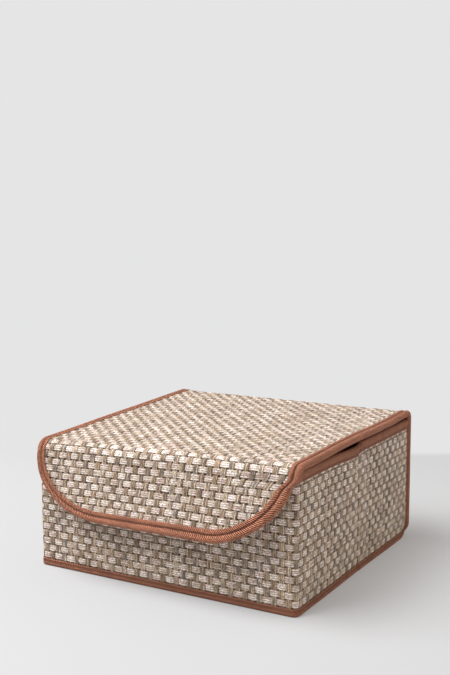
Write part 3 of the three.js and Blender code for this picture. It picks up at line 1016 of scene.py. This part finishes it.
def makeWalls():
    cell, trim = weave["cell"], walls["trim"]
    limits = (trim - wallMiddle, wallEnd - trim - wallMiddle)
    clothTop = walls["top"] - trim
    for part in wallParts:
        name, moves = part["name"], part["moves"]
        low = max(part["columns"][0] * cell, limits[0])
        high = min(part["columns"][1] * cell, limits[1])
        cloth = weaveSheet(name + "Weave", wallPoint, part["columns"], wallRows, limits,
                           (walls["foot"], clothTop), uStart=wallMiddle)
        for kind, tape in wallTapes.items():
            stations = wallStations(low + wallMiddle, high + wallMiddle, tape["z"], tape["way"])
            piece = tapeLoft(name + kind + "Tape", settledWall, *stations, tape["profile"], wallTape,
                             tape["pucker"], tape["seam"])
            turnTo(piece, (0, 0, -tape["way"]))
            attach(piece, moves)
            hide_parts(*[w + "_" + kind.lower() + "_tape" for w in part["walls"]])
            thread = stitchRow(name + kind + "Thread", settledWall, *stations, tape["seam"], tape["thread"])
            attach(thread, moves)
        z = np.linspace(walls["foot"], clothTop, 24)
        middle, half = (low + high) / 2, np.full_like(z, (high - low) / 2)

        def inside(u, v, lift):
            return wallPoint(u + middle + wallMiddle, v, lift)

        lining = plainSheet(name + "Lining", inside, z, half, -depths["lining"], pressedLining, 3.0)
        face = lining.data.polygons[len(lining.data.polygons) // 2].center
        turnTo(lining, (-face.x, -face.y, 0))
        for piece, kind in ((cloth, "_panel"), (lining, "_lining")):
            attach(piece, moves)
            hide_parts(*[w + kind for w in part["walls"]])
        print("wall", name, "made")


# the flat card slab in each wall, which stops short of the crease and of the rear corner
boardBare = {"crease": 5.0, "rear": 5.0}


def makeWallBoards():
    for wall in ("left_rear", "left_front", "front", "right_front", "right_rear"):
        low, high = solidBox(wall + "_board")
        z = np.linspace(low[2], high[2], 13)
        if wall.endswith("_rear"):
            low[1] += boardBare["crease"]
            high[1] -= boardBare["rear"]
        elif wall.endswith("_front"):
            high[1] -= boardBare["crease"]
        if wall == "front":
            middle, half = wallMiddle, (high[0] - low[0]) / 2
        elif wall.startswith("left"):
            middle, half = walls["rearY"] - (low[1] + high[1]) / 2, (high[1] - low[1]) / 2
        else:
            middle = rightStart + (low[1] + high[1]) / 2 + sideRun - walls["rearY"]
            half = (high[1] - low[1]) / 2

        def inside(u, v, lift):
            return wallPoint(u + middle, v, lift)

        board = cardSlab(wall + "Board", inside, z, np.full_like(z, half), depths["card"])
        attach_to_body(board, wall)
        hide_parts(wall + "_board")


# back, lid and flap
# each fold's cloth starts to turn a little into the fold and goes on a little past it, clear of the
# walls' rims; the card stays out of both folds
foldTurn = {"rear": (3.2, 7.0), "front": (4.0, 15.0), "backBare": 0.3, "rearBare": 10.0,
            "frontBare": 20.5, "cardIn": 0.1}


def rearFold():
    low, high = (np.array([0.0, *stripAt(t)[:2]]) for t in (backTop, rearEnd))
    along = (high - low) / np.linalg.norm(high - low)
    late, past = foldTurn["rear"]
    return {"bodies": ("base", "lid"), "start": low + late * along, "end": high + past * along}


# the turn follows the front edge, which sinks to the left
def frontFold():
    low, high = (np.array([0.0, *stripAt(t)[:2]]) for t in (lidEnd, flapTop))
    along = (high - low) / np.linalg.norm(high - low)
    fall = sinking(np.array([-1.0, 0.0, 1.0]) * lidStrip["edgeX"], lidStrip["frontY"])[1]
    along[0] = -along[2] * (fall[0] - fall[2]) / (2 * lidStrip["edgeX"])
    low[2] -= fall[1]
    high[2] -= fall[1]
    late, past = foldTurn["front"]
    return {"bodies": ("lid", "flap"), "start": low + late * along, "end": high + past * along}


rearBend, frontBend = rearFold(), frontFold()
stripParts = [
    {"name": "back", "rows": (0, 15), "moves": {"body": "base"}, "cloth": ("back_panel",)},
    {"name": "lidRear", "rows": (15, 39), "moves": rearBend, "cloth": ("rear_fold_cloth",)},
    {"name": "lidFront", "rows": (39, 61), "moves": frontBend, "cloth": ("lid_panel", "front_fold_cloth")},
    {"name": "flap", "rows": (61, 68), "moves": {"body": "flap"}, "cloth": ("flap_panel",)},
]
roll = {"middle": (3.6, -2.3), "wide": 3.55, "high": 3.6}
tapeSpread = {"lid": 1.03, "flap": (0.05, 0.24), "flapX": (-140, 80), "over": 40.0, "pucker": 0.1}
groove = {"across": 6.95, "outer": 0.35, "inner": -4.95}
bindingLip = [(11.0, 0.15), (11.08, 0.5), (10.85, 0.86), (10.1, 1.0), (9.1, 1.03), (8.0, 0.95),
              (7.35, 0.65), (6.95, 0.05)]
bindingProfile = bindingLip + [
    (roll["middle"][0] + roll["wide"] * math.cos(a), roll["middle"][1] + roll["high"] * math.sin(a))
    for a in np.linspace(math.radians(36), math.radians(324), 23)
] + [(across, -sheetThick - above) for across, above in reversed(bindingLip)]


# stations round one end of the strip, from the middle of one long edge to the other
def edgeStations(meet, end, corner, direction):
    e = lidStrip["edgeX"]
    wide, tall = corner
    step = tapeForm["station"]
    runs = []

    def straight(x0, t0, x1, t1, inX, inT):
        n = max(2, int(math.hypot(x1 - x0, t1 - t0) / step))
        q = np.linspace(0, 1, n + 1)
        x, t = x0 + (x1 - x0) * q, t0 + (t1 - t0) * q
        runs.append(np.stack([x, t, np.full_like(q, inX), np.full_like(q, inT)], -1))

    def arc(cx, ct, a0, a1):
        n = max(6, int((wide + tall) / 2 * abs(a1 - a0) / step))
        a = np.linspace(a0, a1, n + 1)
        outX, outT = np.cos(a) / wide, np.sin(a) / tall
        size = np.hypot(outX, outT)
        runs.append(np.stack([
            cx + wide * np.cos(a), ct + direction * tall * np.sin(a), -outX / size, -direction * outT / size,
        ], -1))

    straight(e, meet, e, end - direction * tall, -1, 0)
    arc(e - wide, end - direction * tall, 0, math.pi / 2)
    straight(e - wide, end, wide - e, end, 0, -direction)
    arc(wide - e, end - direction * tall, math.pi / 2, math.pi)
    straight(-e, end - direction * tall, -e, meet, 1, 0)
    rows = np.concatenate([runs[0]] + [r[1:] for r in runs[1:]])
    y, z, turn = stripAt(rows[:, 1])
    zero = np.zeros_like(y)
    point = np.stack([rows[:, 0], y, z], -1)
    downStrip = np.stack([zero, -np.sin(turn), np.cos(turn)], -1)
    inward = rows[:, 2:3] * np.array([[1.0, 0, 0]]) + rows[:, 3:4] * downStrip
    outward = np.stack([zero, np.cos(turn), np.sin(turn)], -1)
    length = np.concatenate([[0], np.cumsum(np.linalg.norm(np.diff(point, axis=0), axis=1))])
    onFlap = np.clip((rows[:, 1] - lidEnd) / tapeSpread["over"], 0, 1)
    spread = tapeSpread["lid"] + onFlap * np.interp(rows[:, 0], tapeSpread["flapX"], tapeSpread["flap"])
    return point, inward, outward, length, spread


def makeStrip():
    cell, inset, under = weave["cell"], lidStrip["inset"], lidStrip["under"]
    for part in stripParts:
        low = max(part["rows"][0] * cell, under)
        high = min(part["rows"][1] * cell, stripEnd - under)
        cloth = weaveSheet(
            part["name"] + "Weave", stripPoint, lidStrip["columns"], part["rows"],
            (inset - lidStrip["edgeX"], lidStrip["edgeX"] - inset), (inset, stripEnd - inset),
            keep=lambda u, v: (np.abs(u) < halfWidth(v, under)) & (v > under) & (v < stripEnd - under),
        )
        attach(cloth, part["moves"])
        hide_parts(*part["cloth"])
        t = np.linspace(low, high, 200)
        print("strip", part["name"], "made")
    meet = (rearEnd + lidEnd) / 2
    ends = (
        ("back", 0.0, lidStrip["backCorner"], -1, rearBend,
         ("back_binding", "rear_fold_binding_right", "rear_fold_binding_left", "lid_binding_right")),
        ("flap", stripEnd, lidStrip["flapCorner"], 1, frontBend,
         ("flap_binding", "front_fold_binding_right", "front_fold_binding_left", "lid_binding_left")),
    )
    for name, end, corner, direction, moves, stands in ends:
        stations = edgeStations(meet, end, corner, direction)
        binding = tapeLoft(name + "Binding", settledLid, *stations, bindingProfile, bindingTape,
                           tapeSpread["pucker"], groove["across"])
        attach(binding, moves)
        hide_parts(*stands)
        for side, above in (("Outer", groove["outer"]), ("Inner", groove["inner"])):
            thread = stitchRow(name + side + "Thread", settledLid, *stations, groove["across"], above)
            attach(thread, moves)
    linings = (
        ("back", inset, meet, rearBend, ("back_lining", "rear_fold_lining")),
        ("lid", meet, stripEnd - inset, frontBend, ("lid_lining", "front_fold_lining", "flap_lining")),
    )
    for name, low, high, moves, stands in linings:
        runs = ((low, high, 60), (backTop, rearEnd, 7), (lidEnd, flapTop, 9))
        t = np.unique(np.concatenate([np.linspace(*run) for run in runs]))
        t = t[(t >= low) & (t <= high)]
        half = halfWidth(t, inset)
        lining = plainSheet(name + "Lining", stripPoint, t, half, -sheetThick, pressedLining)
        attach(lining, moves)
        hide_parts(*stands)
    cards = (
        ("back", "base", inset, backTop - foldTurn["backBare"]),
        ("lid", "lid", rearEnd + foldTurn["rearBare"], lidEnd),
        ("flap", "flap", flapTop + foldTurn["frontBare"], stripEnd - inset),
    )
    for name, body, low, high in cards:
        t = np.linspace(low, high, 24)
        if name == "flap":  # closer rows towards the rounded edge
            t = low + (high - low) * np.sin(np.linspace(0, math.pi / 2, 40))
        half = halfWidth(t, inset + foldTurn["cardIn"])
        board = cardSlab(name + "Board", stripPoint, t, half, depths["card"])
        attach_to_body(board, body)
        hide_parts(name + "_board")
    print("bindings, linings and boards made")


# bottom: woven below, lined above
bottom = {"fold": "side_fold", "keep": 0.002, "behind": 0.6, "weaveZ": 0.45, "liningZ": 2.5,
          "riseFrom": 24.0, "riseOver": 18.0, "cells": 19}


# the bottom turns up at its rear corners, where the sides' feet curve up
def cornerRise(x, y):
    heel = softness["heelRadius"]
    into = np.clip((y - (walls["rearY"] - heel)) / heel, 0, 1)
    edge = np.clip((np.abs(x) - walls["sideX"] + bottom["riseFrom"]) / bottom["riseOver"], 0, 1)
    return heel * (1 - np.sqrt(1 - into ** 2)) * edge * edge * (3 - 2 * edge)


def bottomPoint(x, y, lift):
    z = bottom["weaveZ"] - np.asarray(lift, float) + cornerRise(x, y)
    return np.stack(np.broadcast_arrays(x, y, z), -1)


def bottomLiningPoint(x, y, lift):
    z = bottom["liningZ"] + np.asarray(lift, float) + cornerRise(x, y)
    return np.stack(np.broadcast_arrays(x, y, z), -1)


def makeBottom():
    low, high = solidBox("bottom_panel")
    heel, cells = softness["heelRadius"], bottom["cells"]

    def trimmed(u, v):
        pastX, pastY = np.maximum(np.abs(u) - high[0] + heel, 0), np.maximum(v - high[1] + heel, 0)
        return (np.abs(u) < high[0]) & (v > low[1]) & (np.hypot(pastX, pastY) < heel)

    sides = (("Left", (-cells, 0), (low[0], 0.0)), ("Right", (0, cells), (0.0, high[0])))
    halves = [
        weaveSheet("bottomWeave" + side, bottomPoint, columns, (-cells, cells), limits, (low[1], high[1]),
                   keep=trimmed)
        for side, columns, limits in sides
    ]
    y = np.linspace(low[1], high[1], 48)
    lining = plainSheet("bottomLining", bottomLiningPoint, y, np.full_like(y, high[0]), 0.0, pressedLining)
    turnTo(lining, (0, 0, 1))
    made = [(half, "bottom_panel", 0.5) for half in halves] + [(lining, "bottom_lining", 1.0)]
    for piece, node, share in made:
        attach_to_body(piece, "base")
        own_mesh(piece)
        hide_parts(node)
    print("bottom made")


# pale floor that passes into an even pale ground behind, and soft light from above on the left
stage = {
    "groundAt": 1.568, "soft": 0.03, "near": 0.7, "far": 1.7, "gap": 0.003, "size": 9.0,
    "floor": [(0.0, (203, 202, 202)), (1.0, (200, 199, 199))], "roughness": 0.9, "ground": (229, 229, 230),
    "tint": (1.0, 0.95, 0.875, 1.0), "fill": 0.03, "fromAbove": 0.26,
    "fromSide": 0.74, "side": (0.86, 0.5, 0.0),
    "key": 69.5, "keyTint": (0.95, 0.972, 1.0), "keySize": 1.75, "keyPlace": (-0.82, -0.78, 1.9),
    "keyAim": (0, 0, 0.08), "lift": 0.25,
}


def makeStage():
    turn = math.radians(view["turn"])
    ahead = Vector((-math.sin(turn), math.cos(turn), 0))
    size = stage["size"]
    points = [(x, y, 0.0) for x in (-size, size) for y in (-size, size)]
    material, tree, surface = newMaterial("paleFloor", stage["roughness"], specular=0.1)
    place = addNode(tree, "ShaderNodeNewGeometry").outputs["Position"]
    noise = addNode(tree, "ShaderNodeTexNoise", {"Vector": place, "Scale": 2.0, "Detail": 2.0})
    tree.links.new(colourRamp(tree, noise.outputs[0], stage["floor"]), surface.inputs["Base Color"])

    def passing(measure, low, high):
        given = {"Value": measure.outputs["Value"], "From Min": low, "From Max": high}
        return addNode(tree, "ShaderNodeMapRange", given, interpolation_type="SMOOTHSTEP").outputs[0]

    reach = addNode(tree, "ShaderNodeVectorMath", {0: place, 1: ahead}, operation="DOT_PRODUCT")
    edge = stage["groundAt"] + Vector((*view["place"][:2], 0)) @ ahead
    share = passing(reach, edge - stage["soft"], edge + stage["soft"])
    # far from the box the floor passes into the same ground on every side
    span = addNode(tree, "ShaderNodeVectorMath", {0: place}, operation="LENGTH")
    even = mathNode(tree, "MAXIMUM", share, passing(span, stage["near"], stage["far"]))
    even = mathNode(tree, "MAXIMUM", even, stage["lift"])
    glow = addNode(tree, "ShaderNodeEmission", {"Color": shade(*stage["ground"])})
    pick = addNode(tree, "ShaderNodeMixShader", {0: even, 1: surface.outputs[0], 2: glow.outputs[0]})
    # seen from below, the floor is clear and lets light up to the underside
    path = addNode(tree, "ShaderNodeLightPath")
    close = mathNode(tree, "LESS_THAN", path.outputs["Ray Length"], stage["gap"])
    close = mathNode(tree, "MULTIPLY", close, mathNode(tree, "SUBTRACT", 1.0, path.outputs["Is Camera Ray"]))
    clear = mathNode(tree, "MAXIMUM", close, addNode(tree, "ShaderNodeNewGeometry").outputs["Backfacing"])
    glass = addNode(tree, "ShaderNodeBsdfTransparent").outputs[0]
    below = addNode(tree, "ShaderNodeMixShader", {0: clear, 1: pick.outputs[0], 2: glass})
    out = next(n for n in tree.nodes if n.type == "OUTPUT_MATERIAL")
    tree.links.new(below.outputs[0], out.inputs["Surface"])
    floor = newPiece("floor", np.array(points) / mm, gridFaces(2, 2), material)
    turnTo(floor, (0, 0, 1))
    world = bpy.data.worlds.new("studio")
    world.use_nodes = True
    tree = world.node_tree
    sky = tree.nodes["Background"]
    seen = addNode(tree, "ShaderNodeLightPath").outputs["Is Camera Ray"]
    level = shade(*stage["ground"])[0]
    tree.links.new(mixColour(tree, seen, stage["tint"], (1.0, 1.0, 1.0, 1.0)), sky.inputs[0])
    way = addNode(tree, "ShaderNodeTexCoord").outputs["Generated"]

    def lightFrom(direction, amount):
        share = addNode(tree, "ShaderNodeVectorMath", {0: way, 1: direction}, operation="DOT_PRODUCT")
        return mathNode(tree, "MULTIPLY", mathNode(tree, "MAXIMUM", share.outputs["Value"], 0.0), amount)

    fill = mathNode(tree, "ADD", lightFrom((0, 0, 1), stage["fromAbove"]),
                    lightFrom(stage["side"], stage["fromSide"]))
    fill = mathNode(tree, "ADD", fill, stage["fill"])
    hidden = mathNode(tree, "MULTIPLY", fill, mathNode(tree, "SUBTRACT", 1.0, seen))
    tree.links.new(mathNode(tree, "MULTIPLY_ADD", seen, level, hidden), sky.inputs[1])
    scene.world = world
    light = bpy.data.objects.new("keyLight", bpy.data.lights.new("keyLight", "AREA"))
    light.data.energy = stage["key"]
    light.data.color = stage["keyTint"]
    light.data.size = stage["keySize"]
    light.location = stage["keyPlace"]
    light.rotation_euler = (Vector(stage["keyAim"]) - light.location).to_track_quat("-Z", "Y").to_euler()
    scene.collection.objects.link(light)
    scene.view_settings.view_transform = "Standard"
    print("stage made")


makeWallBoards()
makeWalls()
makeStrip()
makeBottom()
makeStage()
